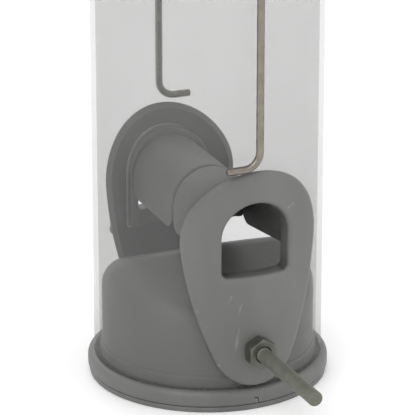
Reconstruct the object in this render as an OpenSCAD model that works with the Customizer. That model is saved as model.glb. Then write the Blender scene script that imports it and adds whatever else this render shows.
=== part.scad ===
// Hanging seed feeder: a clear tube on a ridged base, with two hooded ports, a through perch
// and a wire bail that slides in the top collar. Z is up, the origin is at the middle of the
// rim's underside, and the front port faces -Y. All sizes are in millimetres.

/* [Tube] */
// Outside diameter of the seed tube
tube_d = 63; // [52:0.5:76]
// Wall of the seed tube
tube_wall = 1.5; // [1:0.1:2.5]
// Length of the seed tube
tube_l = 190; // [158:1:260]

/* [Base] */
// Height of the rim that the tube stands on
rim_h = 6; // [5:0.5:9]
// How far the rim stands out past the tube
rim_over = 1.8; // [1:0.1:4]
// Height of the plain step under the rim's bead
rim_step_h = 1.6; // [1:0.1:2]
// Wall of the base moulding
base_wall = 2; // [1.5:0.1:2.5]
// Height of the short spigot that centres the tube
spigot_h = 3; // [2:0.5:6]
// Gap between the spigot and the tube's bore
spigot_gap = 0.2; // [0.1:0.05:0.4]
// Gap between the roof's side and the tube's bore
roof_gap = 0.8; // [0.5:0.1:1.5]
// Height of the roof's ridge above the tube's foot
roof_h = 29; // [27:0.5:34]
// Slope of the roof down to each port, in degrees
roof_pitch = 20.5; // [12:0.5:24]
// Radius of the rounded ridge
ridge_r = 6; // [3:0.5:10]
// Radius of the roof's rounded shoulders
shoulder_r = 8; // [4:0.5:10]

/* [Ports] */
// Width of the port plate at its widest
plate_w = 38.8; // [34:0.5:44]
// Height of the port plate
plate_h = 60.4; // [54:0.5:72]
// Diameter of the plate's rounded lower tip
plate_tip_d = 24; // [16:0.5:28]
// Radius of the plate's bowed sides
plate_side_r = 102; // [80:1:150]
// Thickness of the port plate
plate_t = 2.4; // [1.8:0.1:3]
// Height of the plate's tip above the tube's foot
plate_up = 1.2; // [0.5:0.1:4]
// Width of the mouth
mouth_w = 19; // [16:0.5:23]
// Height of the mouth, from its sill to the top of its arch
mouth_h = 20.2; // [16:0.5:23]
// Height of the mouth's sill above the tube's foot
mouth_sill = 32.4; // [29.5:0.5:33]
// Width of the boss beside the mouth
boss_side = 2.7; // [2:0.1:3.5]
// Depth of the boss under the sill
boss_sill = 4.5; // [2:0.1:5.5]
// Height of the boss over the mouth's arch
boss_top = 2.9; // [2.5:0.1:5]
// How far the boss reaches past the tube's bore
boss_in = 1.5; // [0.5:0.1:3]
// Gap round the boss in the tube's hole
boss_gap = 0.3; // [0.2:0.05:0.6]
// Wall of the hood
hood_wall = 1.3; // [1.2:0.1:2]
// Wall that closes the hood's inner end
hood_end_t = 1.3; // [1.2:0.1:2]
// Height of the hood's lower edges above the mouth's sill
hood_rise = 4.1; // [2.5:0.1:7]
// Gap between the inner ends of the two hoods
hood_gap = 1; // [0.6:0.1:12]
// Radius of the hood's lower inner corners
hood_corner_r = 4; // [2:0.5:6]

/* [Perch] */
// Diameter of the perch rod
perch_d = 4; // [3:0.1:6]
// Height of the perch above the tube's foot
perch_up = 11.6; // [9.5:0.1:13]
// Length of each perch past its nut
perch_reach = 32; // [25:0.5:45]
// Chamfer on the rod's ends
perch_chamfer = 0.3; // [0.2:0.1:0.6]
// Depth of the runout grooves beside the nuts, where the rod's thread ends
runout_in = 0.15; // [0.1:0.05:0.3]
// Width of the runout grooves
runout_w = 0.5; // [0.3:0.1:0.8]
// Clearance round the rod in its holes, on the radius
perch_gap = 0.1; // [0.05:0.05:0.3]
// Width of the nut across its flats
nut_af = 7.5; // [7:0.5:9]
// Thickness of the nut
nut_t = 4; // [3:0.1:5]

/* [Collar] */
// Height of the collar's band on the tube
collar_h = 16; // [13:0.5:22]
// Wall of the collar's band
collar_wall = 2.2; // [1.8:0.1:3]
// Thickness of the collar's lip over the tube's end
collar_lip = 2; // [1.5:0.1:3]
// How far the lip reaches in past the tube's bore
lip_in = 0.6; // [0.4:0.1:1]
// Clearance between the band and the tube, on the radius
collar_gap = 0.1; // [0.05:0.05:0.2]
// Wall of each eye round its wire
eye_wall = 2.2; // [1.6:0.1:3]
// Clearance between each eye and its wire, on the radius
eye_gap = 0.35; // [0.3:0.05:0.6]
// Height of the collar's screws above the band's lower edge
screw_up = 5; // [4:0.5:7]
// Shank diameter of the collar's screws
screw_d = 2.9; // [2.5:0.1:3.2]
// Head diameter of the collar's screws
screw_head_d = 5.6; // [5:0.1:6.4]

/* [Bail] */
// Diameter of the bail's wire
wire_d = 2; // [1.8:0.1:3]
// Distance from the tube's wall out to the wire's middle
wire_out = 3; // [2.9:0.1:4]
// Radius of the bend at each leg's foot
foot_r = 4.5; // [3:0.5:6]
// Reach of each foot from its leg, to the wire's end
foot_reach = 9.3; // [7:0.1:14]
// Gap between each foot and the top of its port plate
foot_gap = 0.3; // [0.3:0.1:1]
// Radius of the handle's shoulders
shoulder_bend_r = 14; // [10:0.5:18]
// Upward slope of the handle between shoulder and hump, in degrees
handle_pitch = 18; // [10:1:25]
// Radius of the hump that a hook sits in
hump_r = 7; // [6:0.5:9]
// Radius of the bend into the hump
hump_bend_r = 5; // [4:0.5:6]
// Steepness of the hump's sides, in degrees
hump_pitch = 70; // [60:1:75]

/* [Lid] */
// Wall of the lid
lid_wall = 2; // [1.6:0.1:2.6]
// Gap between the collar's eyes and the lid's skirt
skirt_gap = 1; // [0.6:0.1:2]
// How far the lid's skirt hangs below the collar's top
skirt_drop = 7; // [5:0.5:8]
// Height from the collar's top to the shoulder of the lid
skirt_rise = 3; // [2.5:0.5:6]
// Rise of the lid's dome
dome_rise = 12; // [9:0.5:18]
// How far the lid can be lifted
lid_lift = 70; // [55:1:90]
// Depth of the ring that centres the lid in the collar
ring_h = 6; // [4:0.5:10]
// Gap round the lid's ring
ring_gap = 0.5; // [0.4:0.1:1]
// Clearance between the lid and the wire, on the radius
lid_hole_gap = 0.6; // [0.4:0.1:1.2]

/* [Hidden] */
$fn = 96;
cut = 1;
rest_gap = 0.2;
joint_gap = 0.05;

tube_r = tube_d / 2;
bore_r = tube_r - tube_wall;
tube_z = rim_h;
tube_top = tube_z + tube_l;
rim_r = tube_r + rim_over;
spigot_r = bore_r - spigot_gap;
roof_r = bore_r - roof_gap;
ridge_z = tube_z + roof_h;

plate_r = tube_r + plate_t;
plate_z = tube_z + plate_up;
plate_top = plate_z + plate_h;
tip_r = plate_tip_d / 2;
sill_z = tube_z + mouth_sill;
mouth_top = sill_z + mouth_h;
hood_z = sill_z + hood_rise;
hood_r = mouth_w / 2 + hood_wall;
boss_w = mouth_w + 2 * boss_side;
boss_z = sill_z - boss_sill;
boss_top_z = mouth_top + boss_top;
boss_face_r = bore_r - boss_in;

perch_z = tube_z + perch_up;
perch_r = perch_d / 2;
nut_end = plate_r + nut_t;
perch_end = nut_end + perch_reach;

wire_r = wire_d / 2;
leg_r = tube_r + wire_out;
foot_z = plate_top + foot_gap + wire_r;
collar_r = tube_r + collar_gap + collar_wall;
collar_z = tube_top - collar_h;
collar_top = tube_top + collar_lip;
mouth_ring_r = bore_r - lip_in;
eye_r = wire_r + eye_gap + eye_wall;
screw_z = collar_z + screw_up;
screw_head_h = 1.8;

lid_seat = collar_top + rest_gap;
skirt_r = leg_r + eye_r + skirt_gap + lid_wall;
skirt_z = collar_top - skirt_drop;
lid_shoulder = collar_top + skirt_rise;
lid_top = lid_shoulder + dome_rise;
ring_r = mouth_ring_r - ring_gap;
dome_r = (skirt_r ^ 2 + dome_rise ^ 2) / (2 * dome_rise);

// The handle's legs stay straight past the lid at its full lift.
shoulder_z = lid_top + lid_lift - dome_rise / 2;

// Where the handle's bends meet its slopes, seen along X.
shoulder_y = leg_r - shoulder_bend_r;
slope_y = shoulder_y + shoulder_bend_r * sin(handle_pitch);
slope_z = shoulder_z + shoulder_bend_r * cos(handle_pitch);
bend_y = (hump_r + hump_bend_r) * sin(hump_pitch);
dip_y = bend_y - hump_bend_r * sin(handle_pitch);
slope_l = (slope_y - dip_y) / cos(handle_pitch);
dip_z = slope_z + slope_l * sin(handle_pitch);
bend_z = dip_z + hump_bend_r * cos(handle_pitch);
hump_z = bend_z - (hump_r + hump_bend_r) * cos(hump_pitch);
leg_low = foot_z + foot_r;

// A ring with its middle on the Z axis.
module ring(outer_r, inner_r, low, high) {
    translate([0, 0, low]) difference() {
        cylinder(r = outer_r, h = high - low);
        translate([0, 0, -cut]) cylinder(r = inner_r, h = high - low + 2 * cut);
    }
}

// A flat shape drawn in X and Z, run from y = -far to y = -near on the front side.
module toward_front(near, far) {
    translate([0, -near, 0]) rotate([90, 0, 0]) linear_extrude(far - near) children();
}

// A rod along Y through the whole object.
module along_y(r, half) {
    rotate([90, 0, 0]) cylinder(r = r, h = 2 * half, center = true);
}

// An arch: straight sides from low up to a round top.
module arch(w, low, high) {
    union() {
        translate([0, high - w / 2]) circle(d = w);
        translate([-w / 2, low]) square([w, high - w / 2 - low]);
    }
}

module front_and_back() {
    children();
    rotate([0, 0, 180]) children();
}

module tube() {
    color([0.86, 0.88, 0.88, 0.35]) difference() {
        ring(tube_r, bore_r, tube_z, tube_top);
        front_and_back() toward_front(bore_r / 2, tube_r + cut)
            arch(boss_w + 2 * boss_gap, boss_z - boss_gap, boss_top_z + boss_gap);
        translate([0, 0, perch_z]) along_y(perch_r + perch_gap, tube_r + cut);
        translate([0, 0, screw_z]) rotate([0, 0, 90]) along_y(screw_d / 2, tube_r + cut);
    }
}

// Outline of the roof's side, in radius and height, with a rounded shoulder.
module roof_side(r, top, shoulder) {
    union() {
        square([r, top - shoulder]);
        square([r - shoulder, top]);
        translate([r - shoulder, top - shoulder]) intersection() {
            circle(r = shoulder);
            square(shoulder);
        }
    }
}

// End view of the roof: a round ridge between two slopes. The ridge's top is at height top.
module roof_slopes(r, top, ridge) {
    mid = top - ridge;
    half = ridge * sin(roof_pitch);
    eave = mid + ridge * cos(roof_pitch) - (r - half) * tan(roof_pitch);
    translate([0, mid]) circle(r = ridge);
    polygon([[-r, -cut], [r, -cut], [r, eave], [half, mid + ridge * cos(roof_pitch)],
             [-half, mid + ridge * cos(roof_pitch)], [-r, eave]]);
}

module roof(r, top, shoulder, ridge) {
    intersection() {
        rotate_extrude() roof_side(r, top, shoulder);
        rotate([90, 0, 90]) linear_extrude(2 * r + 2 * cut, center = true)
            roof_slopes(r + cut, top, ridge);
    }
}

// Outline of the rim in radius and height: a plain step, then a rounded bead.
module rim_side() {
    bead_h = rim_h - rim_step_h;
    bead_r = bead_h / 2;
    union() {
        square([rim_r - rim_over / 4, rim_step_h]);
        translate([0, rim_step_h]) square([rim_r - bead_r, bead_h]);
        translate([rim_r - bead_r, rim_step_h + bead_r]) circle(r = bead_r);
    }
}

module base() {
    color([0.45, 0.45, 0.44]) difference() {
        union() {
            rotate_extrude() rim_side();
            cylinder(r = spigot_r, h = tube_z + spigot_h);
            roof(roof_r, ridge_z, shoulder_r, ridge_r);
        }
        translate([0, 0, -cut])
            roof(roof_r - base_wall, ridge_z - base_wall + cut, shoulder_r - base_wall,
                 ridge_r - base_wall);
        translate([0, 0, perch_z]) along_y(perch_r + perch_gap, tube_r);
    }
}

// The teardrop: a large round head, a small round tip and bowed sides that run into both.
module teardrop(head_r, tip_r, span, side_r) {
    head_far = side_r - head_r;
    tip_far = side_r - tip_r;
    mid_z = (tip_far ^ 2 - head_far ^ 2 + span ^ 2) / (2 * span);
    mid_x = sqrt(tip_far ^ 2 - mid_z ^ 2);
    low = -mid_z * tip_r / tip_far;
    high = span + (span - mid_z) * head_r / head_far;
    circle(r = tip_r);
    translate([0, span]) circle(r = head_r);
    intersection() {
        translate([mid_x, mid_z]) circle(r = side_r, $fn = 4 * $fn);
        translate([-mid_x, mid_z]) circle(r = side_r, $fn = 4 * $fn);
        translate([-side_r, low]) square([2 * side_r, high - low]);
    }
}

module port() {
    color([0.43, 0.43, 0.42]) difference() {
        union() {
            intersection() {
                ring(plate_r, tube_r, plate_z - cut, plate_top + cut);
                toward_front(0, plate_r + cut) translate([0, plate_z + tip_r])
                    teardrop(plate_w / 2, tip_r, plate_h - plate_w / 2 - tip_r, plate_side_r);
            }
            intersection() {
                ring(tube_r + plate_t / 2, boss_face_r, boss_z - cut, boss_top_z + cut);
                toward_front(0, tube_r + cut) arch(boss_w, boss_z, boss_top_z);
            }
            intersection() {
                toward_front(hood_gap / 2, tube_r)
                    arch(2 * hood_r, hood_z, mouth_top + hood_wall);
                hood_side();
            }
        }
        toward_front(hood_gap / 2 + hood_end_t, plate_r + cut)
            arch(mouth_w, sill_z, mouth_top);
        translate([0, 0, perch_z]) along_y(perch_r + perch_gap, plate_r + cut);
    }
}

// Side view of the hood, with its lower inner corner rounded off.
module hood_side() {
    rotate([90, 0, 90]) linear_extrude(2 * hood_r + 2 * cut, center = true) difference() {
        translate([-tube_r, hood_z]) square([tube_r, mouth_top + hood_wall + cut - hood_z]);
        translate([-hood_gap / 2 - hood_corner_r, hood_z]) difference() {
            square([hood_corner_r + hood_gap, hood_corner_r]);
            translate([0, hood_corner_r]) circle(r = hood_corner_r);
        }
    }
}

module port_front() { port(); }

module port_back() { rotate([0, 0, 180]) port(); }

module perch_rod() {
    color([0.4, 0.4, 0.36]) difference() {
        translate([0, 0, perch_z]) rotate([90, 0, 0]) rotate_extrude()
            polygon([[0, -perch_end], [perch_r - perch_chamfer, -perch_end],
                     [perch_r, perch_chamfer - perch_end], [perch_r, perch_end - perch_chamfer],
                     [perch_r - perch_chamfer, perch_end], [0, perch_end]]);
        front_and_back() translate([0, -nut_end, perch_z]) rotate([90, 0, 0])
            ring(perch_r + cut, perch_r - runout_in, 0, runout_w);
    }
}

module nut() {
    corner_r = nut_af / sqrt(3);
    color([0.42, 0.42, 0.38]) translate([0, -plate_r, perch_z]) rotate([90, 0, 0]) difference() {
        intersection() {
            cylinder(r = corner_r, h = nut_t, $fn = 6);
            cylinder(r1 = corner_r + nut_t, r2 = nut_af / 2 - 0.1, h = nut_t * 1.02);
        }
        translate([0, 0, -cut]) cylinder(r = perch_r + perch_gap / 2, h = nut_t + 2 * cut);
    }
}

module nut_front() { nut(); }

module nut_back() { rotate([0, 0, 180]) nut(); }

module collar() {
    color([0.43, 0.43, 0.42]) difference() {
        union() {
            ring(collar_r, tube_r + collar_gap, collar_z, tube_top);
            ring(collar_r, mouth_ring_r, tube_top, collar_top);
            front_and_back() difference() {
                translate([0, -leg_r, collar_z]) cylinder(r = eye_r, h = collar_h);
                translate([0, 0, collar_z - cut])
                    cylinder(r = tube_r + collar_gap, h = collar_h + 2 * cut);
            }
        }
        front_and_back() translate([0, -leg_r, collar_z - cut])
            cylinder(r = wire_r + eye_gap, h = collar_h + collar_lip + 2 * cut);
        translate([0, 0, screw_z]) rotate([0, 0, 90]) along_y(screw_d / 2, collar_r + cut);
    }
}

// One screw stands in the band and the tube on each side.
module collar_screws() {
    color([0.6, 0.6, 0.58]) for (turn = [90, -90]) rotate([0, 0, turn])
        translate([0, -collar_r, screw_z]) rotate([90, 0, 0]) {
            cylinder(r1 = screw_head_d / 2, r2 = screw_head_d / 2 - 0.7, h = screw_head_h);
            translate([0, 0, bore_r - collar_r - 1])
                cylinder(d = screw_d - 0.1, h = collar_r - bore_r + 1 + screw_head_h / 2);
        }
}

// A straight stretch of wire from the point given, held back from both of its ends.
module straight(length) {
    translate([0, 0, joint_gap]) cylinder(r = wire_r, h = length - 2 * joint_gap);
}

// A stretch of wire bent round the Z axis, held back from both of its ends.
module bend(r, from, sweep) {
    gap_turn = joint_gap / r * 180 / PI;
    rotate([0, 0, from + gap_turn]) rotate_extrude(angle = sweep - 2 * gap_turn)
        translate([r, 0]) circle(r = wire_r);
}

// The ball that joins two stretches of wire, a hair larger than the wire. Its poles point along the
// wire, which rises at the given pitch.
module joint(y, z, pitch) {
    translate([0, y, z]) rotate([90 - pitch, 0, 0]) sphere(r = wire_r * 1.02);
}

// Turns a bend from the XY plane into the plane of the handle, about the point (0, y, z).
module in_handle(y, z) {
    translate([0, y, z]) rotate([90, 0, 90]) children();
}

// One half of the bail, from the foot at +Y up to the top of the hump.
module half_bail() {
    translate([foot_r, leg_r, foot_z]) rotate([0, 90, 0])
        straight(foot_reach - foot_r + joint_gap);
    translate([foot_r, leg_r, foot_z]) rotate([0, 90, 0]) sphere(r = wire_r * 1.02);
    translate([foot_r, leg_r, leg_low]) rotate([90, 0, 0]) bend(foot_r, 180, 90);
    joint(leg_r, leg_low, 90);
    translate([0, leg_r, leg_low]) straight(shoulder_z - leg_low);
    joint(leg_r, shoulder_z, 90);
    in_handle(shoulder_y, shoulder_z) bend(shoulder_bend_r, 0, 90 - handle_pitch);
    joint(slope_y, slope_z, handle_pitch);
    translate([0, slope_y, slope_z]) rotate([90 - handle_pitch, 0, 0]) straight(slope_l);
    joint(dip_y, dip_z, handle_pitch);
    in_handle(bend_y, bend_z) bend(hump_bend_r, 270 - hump_pitch, hump_pitch - handle_pitch);
    joint(hump_r * sin(hump_pitch), hump_z + hump_r * cos(hump_pitch), hump_pitch);
    in_handle(0, hump_z) bend(hump_r, 90 - hump_pitch, hump_pitch);
}

module bail() {
    color([0.72, 0.7, 0.66]) {
        front_and_back() half_bail();
        joint(0, hump_z + hump_r, 0);
    }
}

// Outline of the lid's outer face in radius and height.
module lid_side(r, top, low) {
    union() {
        translate([0, low]) square([r, top - dome_rise - low]);
        intersection() {
            translate([0, top - dome_r]) circle(r = dome_r, $fn = 4 * $fn);
            translate([0, top - dome_rise - cut]) square([r, dome_rise + cut]);
        }
    }
}

module lid() {
    bead_r = 1.4;
    color([0.45, 0.45, 0.44]) difference() {
        union() {
            rotate_extrude() {
                difference() {
                    lid_side(skirt_r, lid_top, skirt_z);
                    translate([0, -lid_wall]) lid_side(skirt_r - lid_wall, lid_top, skirt_z - cut);
                }
                translate([skirt_r, skirt_z + bead_r]) circle(r = bead_r);
            }
            intersection() {
                union() {
                    ring(tube_r, ring_r - lid_wall, lid_seat, lid_top);
                    ring(ring_r, ring_r - lid_wall, lid_seat - ring_h, lid_top);
                }
                rotate_extrude() translate([0, -lid_wall / 2])
                    lid_side(skirt_r - lid_wall / 2, lid_top, skirt_z);
            }
        }
        front_and_back() translate([0, -leg_r, skirt_z - cut])
            cylinder(r = wire_r + lid_hole_gap, h = lid_top - skirt_z + 2 * cut);
    }
}

tube();
base();
port_front();
port_back();
perch_rod();
nut_front();
nut_back();
collar();
collar_screws();
bail();
lid();
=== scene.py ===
import math

import bmesh
import bpy
import numpy as np
from mathutils import Matrix, Vector


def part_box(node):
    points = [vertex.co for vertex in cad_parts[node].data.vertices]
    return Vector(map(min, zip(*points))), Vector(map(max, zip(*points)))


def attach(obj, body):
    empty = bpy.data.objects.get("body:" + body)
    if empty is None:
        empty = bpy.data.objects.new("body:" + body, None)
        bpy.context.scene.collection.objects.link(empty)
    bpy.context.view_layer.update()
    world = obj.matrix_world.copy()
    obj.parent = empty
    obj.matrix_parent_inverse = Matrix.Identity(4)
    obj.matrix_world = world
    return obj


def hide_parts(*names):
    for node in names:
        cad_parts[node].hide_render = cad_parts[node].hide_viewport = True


bl_info = {
    "name": "Hanging Seed Feeder",
    "version": (1, 0, 0),
    "blender": (4, 5, 0),
    "location": "View3D > Sidebar > Feeder",
    "description": "Makes and finishes the pieces of a clear seed feeder round its packed frame",
    "category": "Object",
}

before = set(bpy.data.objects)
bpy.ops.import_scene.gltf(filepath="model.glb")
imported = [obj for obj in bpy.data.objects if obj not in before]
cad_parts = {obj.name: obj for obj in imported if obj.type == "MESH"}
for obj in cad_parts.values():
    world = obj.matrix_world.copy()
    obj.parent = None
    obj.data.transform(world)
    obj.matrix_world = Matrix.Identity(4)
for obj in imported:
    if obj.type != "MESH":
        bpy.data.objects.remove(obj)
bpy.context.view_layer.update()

MM = 0.001
TURN = 2 * math.pi
JOINT_BALL = 1.02


def part_size(node):
    """The size of a CAD node's box along X, Y and Z."""
    low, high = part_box(node)
    return high - low


TUBE_LOW, TUBE_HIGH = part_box("tube")
PLATE_LOW, PLATE_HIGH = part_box("port_front")
BASE_LOW, BASE_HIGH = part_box("base")
NUT_LOW, NUT_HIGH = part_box("nut_front")
ROD_LOW, ROD_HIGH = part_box("perch_rod")
COLLAR_LOW, COLLAR_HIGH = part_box("collar")
SCREW_LOW, SCREW_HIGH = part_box("collar_screws")
BAIL_LOW, BAIL_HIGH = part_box("bail")
LID_LOW, LID_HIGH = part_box("lid")


# ---------------------------------------------------------------- sizes and colours


def length(name, description, default):
    """A size property in metres."""
    return bpy.props.FloatProperty(
        name=name, description=description, default=default, min=0.0, unit="LENGTH", precision=5
    )


def colour(name, description, default):
    """A colour property."""
    return bpy.props.FloatVectorProperty(
        name=name, description=description, default=default, min=0.0, max=1.0, size=3, subtype="COLOR"
    )


class FeederSizes(bpy.types.PropertyGroup):
    """Sizes of the feeder's pieces that its frame doesn't give."""

    tube_wall: length("Tube wall", "Wall of the clear tube", 1.5 * MM)
    base_wall: length("Base wall", "Wall of the base moulding", 2.0 * MM)
    rim_step: length("Rim step", "Height of the plain step under the rim's bead", 1.6 * MM)
    rim_over: length("Rim overhang", "How far the rim stands out past the tube", 1.8 * MM)
    roof_gap: length("Roof gap", "Gap between the roof's side and the tube's bore", 0.8 * MM)
    roof_pitch: bpy.props.FloatProperty(
        name="Roof pitch", description="Slope of the roof down to each port",
        default=math.radians(20.5), subtype="ANGLE",
    )
    ridge_round: length("Ridge rounding", "Radius of the roof's ridge", 6.0 * MM)
    shoulder_round: length("Shoulder rounding", "Radius of the roof's shoulders", 8.0 * MM)
    eave_round: length("Eave rounding", "Radius of the roof's edge above each port", 3.0 * MM)
    plate_tip: length("Plate tip", "Diameter of the port plate's lower tip", 24.0 * MM)
    plate_side: length("Plate side", "Radius of the port plate's bowed sides", 102.0 * MM)
    plate_edge: length("Plate edge", "Rounding of the port plate's rim", 1.0 * MM)
    plate_lean: length("Plate lean", "How far the plate's side wall leans in towards the tube", 1.3 * MM)
    mouth_width: length("Mouth width", "Width of the mouth", 19.0 * MM)
    mouth_height: length("Mouth height", "Height of the mouth at its arch", 20.2 * MM)
    mouth_sill: length("Mouth sill", "Height of the sill above the tube's foot", 32.4 * MM)
    mouth_round: length("Mouth rounding", "Rounding of the mouth's outer edge", 1.3 * MM)
    boss_side: length("Boss side", "Width of the boss beside the mouth", 2.7 * MM)
    boss_sill: length("Boss sill", "Depth of the boss under the sill", 4.5 * MM)
    boss_top: length("Boss top", "Height of the boss over the mouth", 2.9 * MM)
    boss_in: length("Boss depth", "How far the boss reaches into the tube", 1.5 * MM)
    hood_wall: length("Hood wall", "Wall of the hood", 1.5 * MM)
    hood_root: length("Hood root", "Half width of the hood where it leaves the boss", 11.8 * MM)
    hood_end: length("Hood end", "Half width of the hood at its inner end", 10.5 * MM)
    hood_rise: length("Hood rise", "Height of the outer lower edges above the sill, at the root", 5.2 * MM)
    hood_drop: length("Hood drop", "How far the outer lower edges drop to the inner end", 2.2 * MM)
    hood_inner_rise: length("Hood inner rise", "Height of the inner lower edges above the sill", 8.2 * MM)
    end_wall: length("End wall", "Thickness of the wall that closes the hood's inner end", 1.3 * MM)
    end_wall_drop: length("End wall drop", "How far the end wall hangs below the inner edges", 3.1 * MM)
    end_wall_start: length("End wall start", "How far the end wall starts inside the hood's end", 0.5 * MM)
    end_wall_curl: length("End wall curl", "Rounding of the end wall's lower edge", 0.5 * MM)
    end_wall_wave: length("End wall wave", "Unevenness of the end wall's lower edge", 0.12 * MM)
    hood_gap: length("Hood gap", "Gap between the two hoods", 1.0 * MM)
    hood_corner: length("Hood corner", "Radius of the hood's lower inner corners", 4.0 * MM)
    nut_flats: length("Nut flats", "Width of the nut across its flats", 7.5 * MM)
    wire: length("Wire", "Diameter of the bail's wire", 2.0 * MM)
    foot_bend: length("Foot bend", "Radius of the bend at each leg's foot", 4.5 * MM)
    shoulder_bend: length("Shoulder bend", "Radius of the handle's shoulders", 14.0 * MM)
    hump_bend: length("Hump bend", "Radius of the hump that a hook sits in", 7.0 * MM)
    hump_foot_bend: length("Hump foot bend", "Radius of the bend into the hump", 5.0 * MM)
    collar_wall: length("Collar wall", "Wall of the collar's band", 2.2 * MM)
    eye_wall: length("Eye wall", "Wall of each eye round its wire", 2.2 * MM)
    eye_gap: length("Eye gap", "Clearance between each eye and its wire", 0.35 * MM)
    lid_wall: length("Lid wall", "Wall of the lid", 2.0 * MM)
    dome_rise: length("Dome rise", "Rise of the lid's dome", 12.0 * MM)
    lid_hole_gap: length("Lid hole gap", "Clearance between the lid and the wire", 0.6 * MM)


class FeederColours(bpy.types.PropertyGroup):
    """Colours of the feeder's materials."""

    plastic: colour("Moulded plastic", "Grey of the moulded pieces", (0.118, 0.118, 0.1145))
    plastic_worn: colour("Rubbed plastic", "The same plastic where it is rubbed", (0.22, 0.22, 0.214))
    clear: colour("Clear plastic", "What one face of the tube lets through", (0.862, 0.864, 0.861))
    haze: colour("Tube haze", "Colour of the dust and haze on the tube", (0.52, 0.52, 0.515))
    cut_edge: colour("Cut edge", "Colour of the tube's sawn and cut edges", (0.90, 0.90, 0.89))
    wire: colour("Bright wire", "Colour of the stainless wire", (0.235, 0.212, 0.182))
    perch: colour("Perch steel", "Colour of the dull plated perch", (0.150, 0.153, 0.122))
    nut: colour("Nut steel", "Colour of the dull plated nuts", (0.095, 0.097, 0.080))
    screw: colour("Screw steel", "Colour of the plated screws", (0.50, 0.50, 0.48))
    floor: colour("Floor", "Colour of the pale floor", (0.97, 0.97, 0.97))


# ---------------------------------------------------------------- shader expressions


class Wire:
    """A shader socket that expressions can be written with."""

    def __init__(self, finish, socket):
        self.finish = finish
        self.socket = socket

    def math(self, operation, *others, swap=False):
        """Adds a Math node for this socket and the others, which may be numbers."""
        terms = [self, *others]
        if swap:
            terms.reverse()
        return self.finish.add("ShaderNodeMath", {"operation": operation}, dict(enumerate(terms)))

    def __add__(self, other):
        return self.math("ADD", other)

    def __radd__(self, other):
        return self.math("ADD", other, swap=True)

    def __sub__(self, other):
        return self.math("SUBTRACT", other)

    def __rsub__(self, other):
        return self.math("SUBTRACT", other, swap=True)

    def __mul__(self, other):
        return self.math("MULTIPLY", other)

    def __rmul__(self, other):
        return self.math("MULTIPLY", other, swap=True)

    def __pow__(self, other):
        return self.math("POWER", other)

    def between(self, low, high):
        """0 below low, 1 above high, and a smooth step from one to the other."""
        return self.finish.add(
            "ShaderNodeMapRange",
            {"interpolation_type": "SMOOTHSTEP"},
            {"Value": self, "From Min": low, "From Max": high},
        )


class Finish:
    """One material under construction."""

    def __init__(self, name):
        self.material = bpy.data.materials.new(name)
        self.material.use_nodes = True
        self.tree = self.material.node_tree
        self.tree.nodes.clear()

    def add(self, kind, settings=None, inputs=None, out=0):
        """Adds a node, sets its settings, then fills its sockets. Returns one of its outputs."""
        node = self.tree.nodes.new(kind)
        for key, value in (settings or {}).items():
            setattr(node, key, value)
        for key, value in (inputs or {}).items():
            if isinstance(value, Wire):
                self.tree.links.new(value.socket, node.inputs[key])
            else:
                node.inputs[key].default_value = value
        return Wire(self, node.outputs[out]) if node.outputs else None

    def place(self, stretch=(1, 1, 1)):
        """The point on the piece, in metres, each axis multiplied by stretch."""
        point = self.add("ShaderNodeTexCoord", out="Object")
        return self.add("ShaderNodeVectorMath", {"operation": "MULTIPLY"}, {0: point, 1: stretch})

    def along(self, stretch=(1, 1, 1)):
        """The piece's own length and girth coordinates, multiplied by stretch."""
        point = self.add("ShaderNodeTexCoord", out="UV")
        return self.add("ShaderNodeVectorMath", {"operation": "MULTIPLY"}, {0: point, 1: stretch})

    def noise(self, point, scale, detail=2.0, roughness=0.5):
        """Smooth noise from 0 to 1, with scale lumps to the metre."""
        inputs = {"Vector": point, "Scale": scale, "Detail": detail, "Roughness": roughness}
        return self.add("ShaderNodeTexNoise", {}, inputs)

    def tint(self, share, first, second):
        """A colour that goes from first to second as share goes from 0 to 1."""
        first, second = [c if isinstance(c, Wire) else (*c, 1.0) for c in (first, second)]
        return self.add(
            "ShaderNodeMix", {"data_type": "RGBA"}, {"Factor": share, 6: first, 7: second}, out=2
        )

    def bump(self, height, distance, strength=1.0):
        """A normal bent by height, where 1 stands distance metres high."""
        inputs = {"Height": height, "Distance": distance, "Strength": strength}
        return self.add("ShaderNodeBump", {}, inputs)

    def surface(self, inputs):
        """The main shader."""
        return self.add("ShaderNodeBsdfPrincipled", {}, inputs)

    def done(self, shader):
        """Shows the shader, and returns the material."""
        self.add("ShaderNodeOutputMaterial", {}, {"Surface": shader})
        return self.material


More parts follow.
